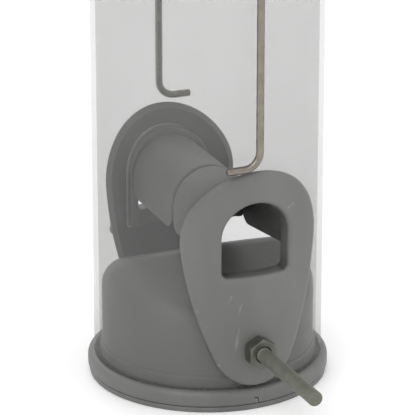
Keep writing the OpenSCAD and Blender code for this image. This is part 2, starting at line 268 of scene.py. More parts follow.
def moulded_plastic(colours):
    """Grey moulded plastic: fine spark grain, faint flow marks, rubbed edges, a little dust, and painted
    shade in its hollows.
    """
    f = Finish("moulded_plastic")
    flow = f.noise(f.place((1, 1, 0.35)), 70, 3.0)
    grain = f.noise(f.place(), 2300, 2.0)
    patches = f.noise(f.place(), 240, 3.0, 0.6)
    scuff = f.noise(f.place((1, 1, 9)), 900, 2.0).between(0.66, 0.74)
    geometry = f.add("ShaderNodeNewGeometry", out="Pointiness")
    edge = geometry.between(0.515, 0.60) * patches.between(0.35, 0.65)
    facing = f.add("ShaderNodeNewGeometry", out="Normal")
    upward = f.add("ShaderNodeSeparateXYZ", {}, {0: facing}, out=2).between(0.35, 1.0)
    specks = f.noise(f.place(), 1500, 1.0).between(0.70, 0.76)
    plain = tuple(colours.plastic)
    light = tuple(min(1.0, c * 1.16) for c in plain)
    body = f.tint(flow.between(0.3, 0.7) * 0.6 + patches * 0.4, tuple(c * 0.9 for c in plain), light)
    rubbed = f.tint(edge * 0.55 + scuff * 0.18, body, tuple(colours.plastic_worn))
    dusty = f.tint(upward * specks * 0.30 + upward * flow * 0.06, rubbed, (0.42, 0.42, 0.40))
    # Painted shade: the colour darkens towards near black where the piece's own surfaces close round a
    # point, as inside the hood and in other recesses.
    open_air = f.add("ShaderNodeAmbientOcclusion", {"only_local": True}, {"Distance": 0.04}, out=1)
    painted_hollow_shade = (1.0 - open_air).between(0.3, 0.85) * 0.85
    hollow_shaded = f.tint(painted_hollow_shade, dusty, tuple(c * 0.16 for c in plain))
    rough = 0.42 + patches * 0.10 + grain * 0.04 + scuff * 0.08 - edge * 0.06
    normal = f.bump(grain * 0.2 + patches * 0.8, 0.000008)
    return f.done(f.surface({"Base Color": hollow_shaded, "Roughness": rough, "Normal": normal}))


def clear_plastic(colours):
    """The tube's clear extruded plastic: faint lines along it, a little haze, mirror-like at a slant."""
    f = Finish("clear_tube")
    lines = f.noise(f.place((1, 1, 0.012)), 420, 3.0)
    smear = f.noise(f.place((1, 1, 0.5)), 55, 3.0)
    scratch = f.noise(f.place((1, 1, 0.06)), 2600, 1.0).between(0.72, 0.78)
    specks = f.noise(f.place(), 1900, 0.0).between(0.80, 0.84)
    normal = f.bump(lines + scratch * 0.3, 0.00005, 0.6)
    slant = f.add("ShaderNodeLayerWeight", {}, {"Blend": 0.5, "Normal": normal}, out=1)
    hazy = 0.08 + smear.between(0.4, 0.8) * 0.02 + scratch * 0.03 + specks * 0.06
    share = (slant**4.0 * 0.12 + hazy).math("MINIMUM", 1.0)
    skin = f.surface(
        {
            "Base Color": (*colours.haze, 1.0),
            "Roughness": 0.07 + smear * 0.05 + scratch * 0.2,
            "Normal": normal,
        }
    )
    through = f.add("ShaderNodeBsdfTransparent", {}, {"Color": (*colours.clear, 1.0)})
    return f.done(f.add("ShaderNodeMixShader", {}, {0: share, 1: through, 2: skin}))


def cut_plastic(colours):
    """The tube's sawn ends and cut holes: frosted by the tool, with small nicks."""
    f = Finish("cut_plastic")
    marks = f.noise(f.place((1, 1, 1)), 1400, 3.0)
    nicks = f.noise(f.place(), 420, 2.0).between(0.55, 0.7)
    tone = f.tint(nicks, tuple(colours.cut_edge), (0.65, 0.66, 0.65))
    skin = f.surface(
        {"Base Color": tone, "Roughness": 0.35 + marks * 0.3, "Normal": f.bump(marks, 0.00008)}
    )
    through = f.add("ShaderNodeBsdfTransparent", {}, {"Color": (0.9, 0.9, 0.9, 1.0)})
    share = 0.35 + marks * 0.2
    return f.done(f.add("ShaderNodeMixShader", {}, {0: share, 1: through, 2: skin}))


def drawn_steel(name, tone, rough, metal, streaks, painted_rim_shade):
    """Steel drawn along its length: fine streaks that follow it, dull spots, and painted shade along the
    rims where the surface turns away from the view.
    """
    f = Finish(name)
    streak = f.noise(f.along((1, streaks, 1)), 900, 2.0)
    cloud = f.noise(f.place(), 320, 3.0, 0.6)
    pits = f.noise(f.place(), 2600, 1.0).between(0.68, 0.76)
    slant = f.add("ShaderNodeLayerWeight", {}, {"Blend": 0.5}, out=1)
    dark = tuple(c * 0.78 for c in tone)
    bright = tuple(min(1.0, c * 1.15) for c in tone)
    body = f.tint(cloud.between(0.3, 0.7) * 0.6 + streak * 0.4, dark, bright)
    # Painted shade: the colour darkens where the surface turns away from the view, a painted dark
    # reflection along the rims; the last argument sets how much.
    shaded = f.tint(slant.between(0.25, 0.95) * painted_rim_shade, body, tuple(c * 0.25 for c in tone))
    spotted = f.tint(pits * 0.5, shaded, tuple(c * 0.45 for c in tone))
    roughness = rough + cloud * 0.12 + streak * 0.08 + pits * 0.2
    normal = f.bump(streak - pits * 0.4, 0.00003)
    return f.done(
        f.surface(
            {"Base Color": spotted, "Metallic": metal, "Roughness": roughness, "Normal": normal}
        )
    )


def plated_steel(name, tone, rough, metal):
    """Cut and plated steel: machining rings blurred by the plating, and rubbed edges."""
    f = Finish(name)
    cloud = f.noise(f.place(), 420, 3.0, 0.6)
    grain = f.noise(f.place(), 3000, 2.0)
    edge = f.add("ShaderNodeNewGeometry", out="Pointiness").between(0.52, 0.62)
    dark = tuple(c * 0.75 for c in tone)
    bright = tuple(min(1.0, c * 1.2) for c in tone)
    worn = tuple(min(1.0, c * 1.9) for c in tone)
    body = f.tint(cloud.between(0.3, 0.7), dark, bright)
    shown = f.tint(edge * 0.6, body, worn)
    normal = f.bump(grain * 0.6 + cloud * 0.4, 0.00004)
    return f.done(
        f.surface(
            {
                "Base Color": shown,
                "Metallic": metal,
                "Roughness": rough + cloud * 0.15 - edge * 0.1,
                "Normal": normal,
            }
        )
    )


def floor_paint(colours):
    """Pale matt floor with a barely uneven coat."""
    f = Finish("floor_paint")
    cloud = f.noise(f.place(), 3, 3.0)
    tone = f.tint(cloud, tuple(colours.floor), tuple(min(1.0, c * 1.02) for c in colours.floor))
    return f.done(f.surface({"Base Color": tone, "Roughness": 0.75 + cloud * 0.1}))


def shared_material(name, make, *settings):
    """The material of that name, made once."""
    return bpy.data.materials.get(name) or make(*settings)


# ---------------------------------------------------------------- mesh work


def new_piece(name, verts, faces, materials, smooth_angle=35.0):
    """A mesh object with welded points, outward faces and edges sharp past the given angle."""
    mesh = bpy.data.meshes.new(name)
    work = bmesh.new()
    made = [work.verts.new(v) for v in verts]
    for face in faces:
        corners = [made[i] for i in dict.fromkeys(face)]
        if len(corners) > 2 and not work.faces.get(corners):
            work.faces.new(corners)
    bmesh.ops.remove_doubles(work, verts=work.verts, dist=1e-7)
    bmesh.ops.dissolve_degenerate(work, edges=work.edges, dist=1e-8)
    bmesh.ops.recalc_face_normals(work, faces=work.faces)
    work.to_mesh(mesh)
    work.free()
    for material in materials:
        mesh.materials.append(material)
    piece = bpy.data.objects.new(name, mesh)
    bpy.context.scene.collection.objects.link(piece)
    shade(piece, smooth_angle)
    return piece


def shade(piece, smooth_angle):
    """Smooth shading, broken at edges sharper than the given angle in degrees."""
    piece.data.shade_smooth()
    piece.data.set_sharp_from_angle(angle=math.radians(smooth_angle))


def skin(rings, around=True, closed=False):
    """Points and faces of a sheet over rings, each an array of points. around closes each ring,
    and closed joins the last ring to the first."""
    rings = np.asarray(rings, float)
    rows, cols = rings.shape[:2]
    verts = rings.reshape(-1, 3)
    faces = []
    for row in range(rows if closed else rows - 1):
        for col in range(cols if around else cols - 1):
            here, there = row * cols, (row + 1) % rows * cols
            nxt = (col + 1) % cols
            faces.append((here + col, here + nxt, there + nxt, there + col))
    return [tuple(v) for v in verts], faces


def lathe(profile, segments, centre=(0, 0, 0), axis="Z"):
    """Rings for a profile of (radius, height) points turned about an axis through centre."""
    turn = np.arange(segments) * TURN / segments
    rings = []
    for radius, height in profile:
        across, up = radius * np.cos(turn), radius * np.sin(turn)
        flat = np.full(segments, height)
        rings.append(np.stack([across, up, flat] if axis == "Z" else [across, flat, up], axis=1))
    return np.array(rings) + np.asarray(centre)


def arc(centre, radius, start, end, steps):
    """Points on a circle, from start to end in degrees."""
    turn = np.radians(np.linspace(start, end, steps + 1))
    return [(centre[0] + radius * math.cos(t), centre[1] + radius * math.sin(t)) for t in turn]


def between(first, last, steps):
    """Evenly spaced points from first to last, without last."""
    first, last = np.asarray(first, float), np.asarray(last, float)
    return [tuple(first + (last - first) * k / steps) for k in range(steps)]


def turned(name, profile, segments, materials, centre=(0, 0, 0), axis="Z", smooth_angle=35.0):
    """A closed piece turned from a closed profile."""
    verts, faces = skin(lathe(profile, segments, centre, axis), closed=True)
    return new_piece(name, verts, faces, materials, smooth_angle)


def prism_along_y(outline, low, high):
    """A closed tool: an outline of (x, z) points run along Y. It is for cutting and is not kept."""
    near = [(x, low, z) for x, z in outline]
    far = [(x, high, z) for x, z in outline]
    count = len(outline)
    faces = [(i, (i + 1) % count, count + (i + 1) % count, count + i) for i in range(count)]
    faces += [tuple(range(count)), tuple(range(2 * count - 1, count - 1, -1))]
    return new_piece("tool", near + far, faces, [])


def rod_tool(radius, start, end, segments=48):
    """A closed round tool from start to end. It is for cutting and is not kept."""
    start, end = Vector(start), Vector(end)
    turn = (end - start).to_track_quat("Z", "Y").to_matrix().to_4x4()
    place = Matrix.Translation(start) @ turn
    reach = (end - start).length
    profile = [(0, 0), (radius, 0), (radius, reach), (0, reach)]
    verts, faces = skin(lathe(profile, segments))
    return new_piece("tool", [place @ Vector(v) for v in verts], faces, [])


def cut(piece, tools, operation="DIFFERENCE", smooth_angle=35.0):
    """Applies the tools to the piece one after another, and removes them."""
    for tool in tools:
        step = piece.modifiers.new("cut", "BOOLEAN")
        step.operation = operation
        step.solver = "EXACT"
        step.object = tool
        graph = bpy.context.evaluated_depsgraph_get()
        result = bpy.data.meshes.new_from_object(piece.evaluated_get(graph))
        piece.modifiers.clear()
        old = piece.data
        piece.data = result
        bpy.data.meshes.remove(old)
        bpy.data.objects.remove(tool)
    shade(piece, smooth_angle)
    return piece


def join(piece, other):
    """Adds the other piece's mesh to the piece, and removes the other."""
    both = bmesh.new()
    both.from_mesh(piece.data)
    both.from_mesh(other.data)
    both.to_mesh(piece.data)
    both.free()
    bpy.data.objects.remove(other)


def half_turned(points):
    """The points, half a turn round the feeder's axis."""
    return [(-x, -y, z) for x, y, z in points]


def settle(piece, body, node):
    """Hangs the piece on its body, in place of its CAD node."""
    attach(piece, body)
    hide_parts(node)
    return piece


def sizes():
    """The scene's sizes for the feeder."""
    return bpy.context.scene.feeder_sizes


def colours():
    """The scene's colours for the feeder."""
    return bpy.context.scene.feeder_colours


def plastic():
    """The grey plastic that every moulding shares."""
    return shared_material("moulded_plastic", moulded_plastic, colours())


# ---------------------------------------------------------------- tube


def arch_outline(width, low, high, steps=40, corner=0.0):
    """An arch: a round top over straight sides, with its lower corners rounded by corner."""
    half = width / 2
    spring = high - half
    left = arc((corner - half, low + corner), corner, 270, 180, 6) if corner else [(-half, low)]
    right = arc((half - corner, low + corner), corner, 360, 270, 6) if corner else [(half, low)]
    side = between((-half, low + corner), (-half, spring), 12)[1:]
    other = between((half, spring), (half, low + corner), 12)[1:]
    floor = between((half - corner, low), (corner - half, low), 12)[1:]
    return left + side + arc((0, spring), half, 180, 0, steps) + other + right + floor


class FEEDER_OT_make_tube(bpy.types.Operator):
    """Makes the clear tube with its two cut holes"""

    bl_idname = "feeder.make_tube"
    bl_label = "Make Tube"

    def execute(self, context):
        s = sizes()
        clear = shared_material("clear_tube", clear_plastic, colours())
        edge = shared_material("cut_plastic", cut_plastic, colours())
        outer, low, high = TUBE_HIGH.x, TUBE_LOW.z, TUBE_HIGH.z
        bore, chamfer = outer - s.tube_wall, 0.15 * MM
        rows = 120
        profile = (
            [(bore + chamfer, low), (outer - chamfer, low)]
            + between((outer, low + chamfer), (outer, high - chamfer), rows)
            + [(outer, high - chamfer), (outer - chamfer, high), (bore + chamfer, high)]
            + between((bore, high - chamfer), (bore, low + chamfer), rows)
            + [(bore, low + chamfer)]
        )
        piece = turned("clear_tube", profile, 192, [clear, edge])
        gap = 0.3 * MM
        width = s.mouth_width + 2 * (s.boss_side + gap)
        sill = low + s.mouth_sill
        outline = arch_outline(
            width, sill - s.boss_sill - gap, sill + s.mouth_height + s.boss_top + gap, 60
        )
        # The holes are cut by hand tools, so their edges wander a little.
        rng = np.random.default_rng(7)
        wander = np.convolve(rng.normal(0, 1, len(outline) + 4), np.ones(5) / 5, "valid")
        middle = np.mean(outline, axis=0)
        nicked = []
        for point, step in zip(np.asarray(outline), wander):
            away = (point - middle) / np.linalg.norm(point - middle)
            nicked.append(tuple(point + away * step * 0.12 * MM))
        reach = outer + MM
        perch = (ROD_LOW.z + ROD_HIGH.z) / 2
        screw = (SCREW_LOW.z + SCREW_HIGH.z) / 2
        rod = part_size("perch_rod").x / 2 + 0.1 * MM
        cut(
            piece,
            [
                prism_along_y(nicked, -reach, -bore / 2),
                prism_along_y([(-x, z) for x, z in nicked][::-1], bore / 2, reach),
                rod_tool(rod, (0, -reach, perch), (0, reach, perch)),
                rod_tool(1.45 * MM, (-reach, 0, screw), (reach, 0, screw)),
            ],
        )
        for face in piece.data.polygons:
            outward = Vector((face.center.x, face.center.y, 0)).normalized()
            face.material_index = 1 if abs(face.normal.dot(outward)) < 0.6 else 0
        settle(piece, "feeder", "tube")
        return {"FINISHED"}


# ---------------------------------------------------------------- base


class FEEDER_OT_make_base(bpy.types.Operator):
    """Makes the base: the rim, and the ridged roof inside the tube"""

    bl_idname = "feeder.make_base"
    bl_label = "Make Base"

    def roof_height(self, across, top, ridge):
        """Height of the roof at the distance across from its ridge line."""
        pitch = sizes().roof_pitch
        across = abs(across)
        turn = ridge * math.sin(pitch)
        if across < turn:
            return top - ridge + math.sqrt(ridge**2 - across**2)
        return top - ridge + ridge * math.cos(pitch) - (across - turn) * math.tan(pitch)

    def roof_line(self, wall, top, ridge, heading):
        """Points of (radius, height) from the wall's top edge to the middle, on one heading."""
        s = sizes()
        toward_port = abs(math.sin(heading))
        ease = toward_port * toward_port * (3 - 2 * toward_port)
        round_r = s.shoulder_round + (s.eave_round - s.shoulder_round) * ease
        points = []
        for turn in np.linspace(0, math.pi / 2, 10):
            radius = wall - round_r + round_r * math.cos(turn)
            drop = round_r * (1 - math.sin(turn))
            points.append((radius, self.roof_height(radius * math.sin(heading), top, ridge) - drop))
        for radius in np.linspace(wall - round_r, 0, 26)[1:]:
            points.append((radius, self.roof_height(radius * math.sin(heading), top, ridge)))
        return points

    def execute(self, context):
        s = sizes()
        foot, top = TUBE_LOW.z, BASE_HIGH.z
        tube_r = TUBE_HIGH.x
        bore = tube_r - s.tube_wall
        rim = tube_r + s.rim_over
        spigot, roof = bore - 0.2 * MM, bore - s.roof_gap
        bead = 1.7 * MM
        step_r = rim - 0.45 * MM
        rings = []
        for heading in np.arange(288) * TURN / 288:
            inner = self.roof_line(
                roof - s.base_wall, top - s.base_wall, s.ridge_round - s.base_wall, heading
            )
            outer = self.roof_line(roof, top, s.ridge_round, heading)
            low = inner[0][1]
            line = (
                between((roof - s.base_wall, low), (roof - s.base_wall, 0.3 * MM), 6)
                + [(roof - s.base_wall, 0.3 * MM), (roof - s.base_wall + 0.3 * MM, 0)]
                + [(step_r - 0.4 * MM, 0)]
                + arc((step_r - 0.4 * MM, 0.4 * MM), 0.4 * MM, 270, 360, 3)
                + [(step_r, s.rim_step - 0.15 * MM), (step_r - 0.15 * MM, s.rim_step)]
                + arc((rim - 0.9 * MM, s.rim_step + 0.9 * MM), 0.9 * MM, 285, 360, 5)
                + arc((rim - bead, foot - bead), bead, 0, 90, 8)
                + [(spigot, foot), (spigot, foot + 2.6 * MM), (spigot - 0.4 * MM, foot + 3 * MM)]
                + [(roof, foot + 3 * MM)]
                + between((roof, foot + 3.2 * MM), outer[0], 8)
                + outer
            )
            points = line + inner[::-1][:-1]
            rings.append([(r * math.cos(heading), r * math.sin(heading), z) for r, z in points])
        verts, faces = skin(np.swapaxes(np.array(rings), 0, 1), closed=True)
        piece = new_piece("base_moulding", verts, faces, [plastic()], 40)
        perch = (ROD_LOW.z + ROD_HIGH.z) / 2
        rod = part_size("perch_rod").x / 2 + 0.1 * MM
        tools = [rod_tool(rod, (0, -bore, perch), (0, bore, perch))]
        tools += [self.mark(rim, 1), self.mark(rim, -1), self.hook(rim, 1), self.hook(rim, -1)]
        cut(piece, tools, smooth_angle=40)
        settle(piece, "feeder", "base")
        return {"FINISHED"}

    def mark(self, rim, side):
        """The slanted stroke of the fitting mark in the rim, under a perch."""
        stroke = [(0.3, 3.4), (0.55, 3.4), (1.45, -0.5), (1.15, -0.5)]
        return self.groove(stroke, rim, side)

    def hook(self, rim, side):
        """The short level stroke at the top of the fitting mark."""
        return self.groove([(-0.55, 3.4), (-0.55, 3.6), (0.5, 3.6), (0.5, 3.3)], rim, side)

    def groove(self, outline, rim, side):
        depth = 0.45 * MM
        points = [(x * MM * side, z * MM) for x, z in outline]
        low, high = sorted((-side * (rim - depth), -side * (rim + MM)))
        return prism_along_y(points, low, high)


# ---------------------------------------------------------------- ports


class PlateShape:
    """The port plate seen from the front, as matching rings of points round its mouth."""

    def __init__(self, count):
        s = sizes()
        head = part_size("port_front").x / 2
        tip = s.plate_tip / 2
        top, foot = PLATE_HIGH.z, PLATE_LOW.z
        self.sill = TUBE_LOW.z + s.mouth_sill
        self.arch_top = self.sill + s.mouth_height
        self.spring = self.arch_top - s.mouth_width / 2
        self.middle = np.array([0.0, self.spring])
        edge = self.teardrop(head, tip, top - head, foot + tip, s.plate_side)
        self.edge = self.even(edge, count)
        away = self.edge - self.middle
        self.heading = np.arctan2(away[:, 1], away[:, 0])
        mouth = arch_outline(s.mouth_width, self.sill, self.arch_top, 60, 1.6 * MM)
        self.mouth = self.matched(mouth)
        boss = arch_outline(
            s.mouth_width + 2 * s.boss_side, self.sill - s.boss_sill, self.arch_top + s.boss_top, 60, MM
        )
        self.boss = self.matched(boss)

    def teardrop(self, head, tip, head_z, tip_z, side):
        """The closed outline: a large round head, a small round tip and bowed sides."""
        span = head_z - tip_z
        head_far, tip_far = side - head, side - tip
        mid_z = (tip_far**2 - head_far**2 + span**2) / (2 * span)
        mid_x = math.sqrt(tip_far**2 - mid_z**2)
        centre = (mid_x, tip_z + mid_z)
        head_turn = math.degrees(math.atan2(head_z - centre[1], -centre[0])) % 360
        tip_turn = math.degrees(math.atan2(tip_z - centre[1], -centre[0])) % 360
        half = arc((0, head_z), head, 90, head_turn, 60)
        half += arc(centre, side, head_turn, tip_turn, 40)[1:]
        half += arc((0, tip_z), tip, tip_turn, 270, 40)[1:]
        return half + [(-x, z) for x, z in half[-2:0:-1]]

    def even(self, outline, count):
        """The closed outline as count evenly spaced points."""
        points = np.array(outline + outline[:1])
        run = np.concatenate([[0], np.cumsum(np.linalg.norm(np.diff(points, axis=0), axis=1))])
        where = np.linspace(0, run[-1], count, endpoint=False)
        return np.stack([np.interp(where, run, points[:, k]) for k in (0, 1)], axis=1)

    def matched(self, outline):
        """Points of the outline on the same headings from the mouth's middle as the edge's points."""
        away = self.even(outline, 1200) - self.middle
        heading = np.arctan2(away[:, 1], away[:, 0])
        order = np.argsort(heading)
        reach = np.interp(
            self.heading, heading[order], np.linalg.norm(away, axis=1)[order], period=TURN
        )
        ray = np.stack([np.cos(self.heading), np.sin(self.heading)], axis=1)
        return self.middle + ray * reach[:, None]

    def outward(self, ring):
        """Unit directions out of a ring."""
        run = np.roll(ring, -1, axis=0) - np.roll(ring, 1, axis=0)
        normal = np.stack([run[:, 1], -run[:, 0]], axis=1)
        normal /= np.linalg.norm(normal, axis=1)[:, None]
        flip = np.sign(np.sum(normal * (ring - self.middle), axis=1).mean())
        return normal * flip


class FEEDER_OT_make_ports(bpy.types.Operator):
    """Makes the two hooded ports"""

    bl_idname = "feeder.make_ports"
    bl_label = "Make Ports"

    def plate_rings(self):
        """Rings of (x, z, radius) round the plate and its boss."""
        s = sizes()
        shape = PlateShape(420)
        tube_r = TUBE_HIGH.x
        face_r = -PLATE_LOW.y
        seat_r = tube_r + 0.02 * MM
        boss_r = tube_r - s.tube_wall - s.boss_in
        lead, edge = s.mouth_round, s.plate_edge
        mouth_out, edge_out = shape.outward(shape.mouth), shape.outward(shape.edge)
        rings = [(shape.mouth, r) for r in np.linspace(boss_r + 0.3 * MM, face_r - lead, 8)]
        for turn in np.linspace(0, math.pi / 2, 8)[1:]:
            ring = shape.mouth + mouth_out * lead * (1 - math.cos(turn))
            rings.append((ring, face_r - lead + lead * math.sin(turn)))
        inner, outer = shape.mouth + mouth_out * lead, shape.edge - edge_out * edge
        for share in np.linspace(0, 1, 16)[1:]:
            crown = 0.12 * MM * (1 - share) * share
            rings.append((inner + (outer - inner) * share, face_r - crown))
        for turn in np.linspace(0, math.pi / 2, 8)[1:]:
            ring = shape.edge - edge_out * edge * (1 - math.sin(turn))
            rings.append((ring, face_r - edge + edge * math.cos(turn)))
        # The side wall leans in towards the tube, as a moulding that wraps round it must.
        foot = shape.edge - edge_out * s.plate_lean
        rings.append((foot, seat_r + 0.2 * MM))
        rings.append((foot - edge_out * 0.2 * MM, seat_r))
        for share in np.linspace(0, 1, 12)[1:]:
            rings.append((foot * (1 - share) + shape.boss * share, seat_r))
        boss_out = shape.outward(shape.boss)
        rings.append((shape.boss, boss_r + 0.3 * MM))
        for turn in np.linspace(0, math.pi / 2, 4)[1:]:
            ring = shape.boss - boss_out * 0.3 * MM * (1 - math.cos(turn))
            rings.append((ring, boss_r + 0.3 * MM * (1 - math.sin(turn))))
        rings.append((shape.mouth + mouth_out * 0.3 * MM, boss_r))
        return rings

    def hood_rings(self):
        """Loops round the hood's wall, from its root in the boss to its inner end."""
        s = sizes()
        sill = TUBE_LOW.z + s.mouth_sill
        top = sill + s.mouth_height + 0.9 * MM
        root, end = TUBE_HIGH.x - s.tube_wall - 0.6 * MM, s.hood_gap / 2
        low, lip, corner = sill + s.hood_rise, 0.5 * MM, s.hood_corner
        stations = list(np.linspace(root, end + corner, 18))
        stations += [end + corner * (1 - math.sin(t)) for t in np.linspace(0, math.pi / 2, 16)[1:]]
        loops = []
        for out in stations:
            into = max(0.0, end + corner - out)
            share = (root - out) / (root - end)
            rounding = corner - math.sqrt(max(0.0, corner**2 - into**2))
            foot = low - s.hood_drop * share + rounding
            thin = max(0.0, end + lip - out)
            trim = lip - math.sqrt(max(0.0, lip**2 - thin**2))
            outer = s.hood_root + (s.hood_end - s.hood_root) * share - min(trim, s.hood_wall * 0.45)
            inner = outer - s.hood_wall + 2 * min(trim, s.hood_wall * 0.45)
            spring = top - 0.5 * MM * share - s.hood_root - (s.hood_end - s.hood_root) * share
            bevel = sill + s.hood_inner_rise + rounding * 0.5
            soft = 0.25 * MM
            side = [(outer - soft, foot), (outer, foot + soft)]
            side += between((outer, foot + soft), (outer, max(spring, foot + 2 * soft)), 8)[1:]
            hollow = between((inner, max(spring, bevel + soft)), (inner, bevel), 8) + [(inner, bevel)]
            right = side + [(x, z) for x, z in arc((0, spring), outer, 0, 90, 28)]
            left = [(-x, z) for x, z in right[-2::-1]]
            under = [(x, z) for x, z in arc((0, spring), inner, 90, 0, 28)]
            vault = [(-x, z) for x, z in hollow[::-1]] + [(-x, z) for x, z in under[-2:0:-1]]
            loop = right + left + vault + under + hollow[1:]
            loops.append([(x, -out, z) for x, z in loop])
        return loops

    def end_wall(self, side):
        """The wall that closes a hood's inner end, its lower edge a little uneven from the mould."""
        s = sizes()
        sill = TUBE_LOW.z + s.mouth_sill
        low = sill + s.hood_inner_rise - s.end_wall_drop
        half = s.hood_end - s.hood_wall * 0.5
        spring = sill + s.mouth_height + 0.4 * MM - s.hood_end
        rows = []
        end = s.hood_gap / 2
        waves_per_mm = 1.9
        for out in np.linspace(end + s.end_wall_start, end + s.end_wall, 6):
            curl = s.end_wall_curl * abs(2 * (out - end) / s.end_wall - 1.2) ** 2
            edge = between((half, low), (-half, low), 24)
            wave = [s.end_wall_wave * math.sin(x / MM * waves_per_mm) for x, z in edge]
            waved = [(x, z + curl + rise) for (x, z), rise in zip(edge, wave)]
            crown = [(-x, z) for x, z in arc((0, spring), half, 0, 180, 28)]
            rows.append([(x, side * out, z) for x, z in waved + crown])
        verts, faces = skin(rows)
        count = len(rows[0])
        faces.append(tuple(range(count)))
        faces.append(tuple(range(len(verts) - count, len(verts))))
        return new_piece("tool", verts, faces, [plastic()], 38)

    def execute(self, context):
        rings = []
        for ring, radius in self.plate_rings():
            depth = -np.sqrt(radius**2 - ring[:, 0] ** 2)
            rings.append(np.stack([ring[:, 0], depth, ring[:, 1]], axis=1))
        verts, faces = skin(rings, closed=True)
        loops = self.hood_rings()
        hood, hood_faces = skin(loops)
        count = len(loops[0])
        hood_faces.append(tuple(range(count)))
        hood_faces.append(tuple(range(len(hood) - count, len(hood))))
        perch = (ROD_LOW.z + ROD_HIGH.z) / 2
        rod = part_size("perch_rod").x / 2 + 0.1 * MM
        reach = TUBE_HIGH.x + 6 * MM
        for node, side in (("port_front", -1), ("port_back", 1)):
            plate, tunnel = (verts, hood) if side < 0 else (half_turned(verts), half_turned(hood))
            piece = new_piece(node + "_moulding", plate, faces, [plastic()], 38)
            hole = rod_tool(rod, (0, side * reach, perch), (0, side * reach / 2, perch))
            cut(piece, [hole], smooth_angle=38)
            join(piece, new_piece("tool", tunnel, hood_faces, [plastic()], 38))
            join(piece, self.end_wall(side))
            settle(piece, "feeder", node)
        return {"FINISHED"}


# ---------------------------------------------------------------- perch


class FEEDER_OT_make_perch(bpy.types.Operator):
    """Makes the perch rod and its two nuts"""

    bl_idname = "feeder.make_perch"
    bl_label = "Make Perch"

    def rod_profile(self):
        """Radius and place along the rod, with a rolled thread where each nut sits."""
        rod, end = part_size("perch_rod").x / 2, ROD_HIGH.y
        chamfer, pitch, depth = 0.35 * MM, 0.7 * MM, 0.22 * MM
        nut_low, nut_high = -NUT_HIGH.y - 2 * MM, -NUT_LOW.y + 1.1 * MM
        half = between((rod, 0), (rod, nut_low), 10)
        turns = int((nut_high - nut_low) / pitch)
        for k in range(turns):
            start = nut_low + k * pitch
            half += [(rod, start), (rod, start + pitch * 0.2), (rod - depth, start + pitch * 0.6)]
        half += between((rod, nut_low + turns * pitch), (rod, end - chamfer), 14)
        half += arc((rod - chamfer, end - chamfer), chamfer, 0, 90, 4)
        half += [(rod * 0.5, end)]
        return half

    def execute(self, context):
        tone = colours()
        steel = shared_material("dull_bar", drawn_steel, "dull_bar", tuple(tone.perch), 0.45, 0.35, 30, 0.3)
        half = self.rod_profile()
        perch = (ROD_LOW.z + ROD_HIGH.z) / 2
        line = [(0, -ROD_HIGH.y)] + [(r, -y) for r, y in half[::-1]] + half[1:] + [(0, ROD_HIGH.y)]
        verts, faces = skin(lathe(line, 64, (0, 0, perch), "Y"))
        rod = new_piece("perch_rod_bar", verts, faces, [steel], 30)
        add_length_map(rod, Vector((0, 1, 0)))
        settle(rod, "feeder", "perch_rod")
        nut_steel = shared_material("dull_plate", plated_steel, "dull_plate", tuple(tone.nut), 0.36, 0.65)
        points, faces = self.nut_mesh(perch)
        for node, placed in (("nut_front", points), ("nut_back", half_turned(points))):
            nut = new_piece(node + "_hex", placed, faces, [nut_steel], 20)
            settle(nut, "feeder", node)
        return {"FINISHED"}

    def nut_mesh(self, perch):
        """A chamfered hexagon with a countersunk bore, against the front plate."""
        flats = sizes().nut_flats / 2
        near, far = -NUT_HIGH.y, -NUT_LOW.y
        bore, sink = part_size("perch_rod").x / 2 + 0.02 * MM, 0.4 * MM
        ring = flats * 0.94
        rings = []
        for turn in np.arange(144) * TURN / 144:
            corner = (turn + math.pi / 6) % (math.pi / 3) - math.pi / 6
            side = flats / math.cos(corner)
            drop = (side - ring) * math.tan(math.radians(32))
            path = [(bore, near + sink), (bore + sink, near), (ring, near), (side, near + drop)]
            path += [(side, near + drop + 0.08 * MM)]
            path += [(side, far - drop - 0.08 * MM), (side, far - drop), (ring, far)]
            path += [(bore + sink, far), (bore, far - sink)]
            rings.append(
                [(r * math.cos(turn), -y, perch + r * math.sin(turn)) for r, y in path]
            )
        return skin(np.swapaxes(np.array(rings), 0, 1), closed=True)


def add_length_map(piece, direction):
    """A UV map with the place along direction as U and the turn about it as V."""
    layer = piece.data.uv_layers.new(name="length")
    across = direction.orthogonal().normalized()
    other = direction.cross(across)
    middle = sum((v.co for v in piece.data.vertices), Vector()) / len(piece.data.vertices)
    for loop in piece.data.loops:
        point = piece.data.vertices[loop.vertex_index].co - middle
        turn = math.atan2(point.dot(other), point.dot(across)) / TURN
        layer.data[loop.index].uv = (point.dot(direction), turn * 0.02)


# ---------------------------------------------------------------- collar


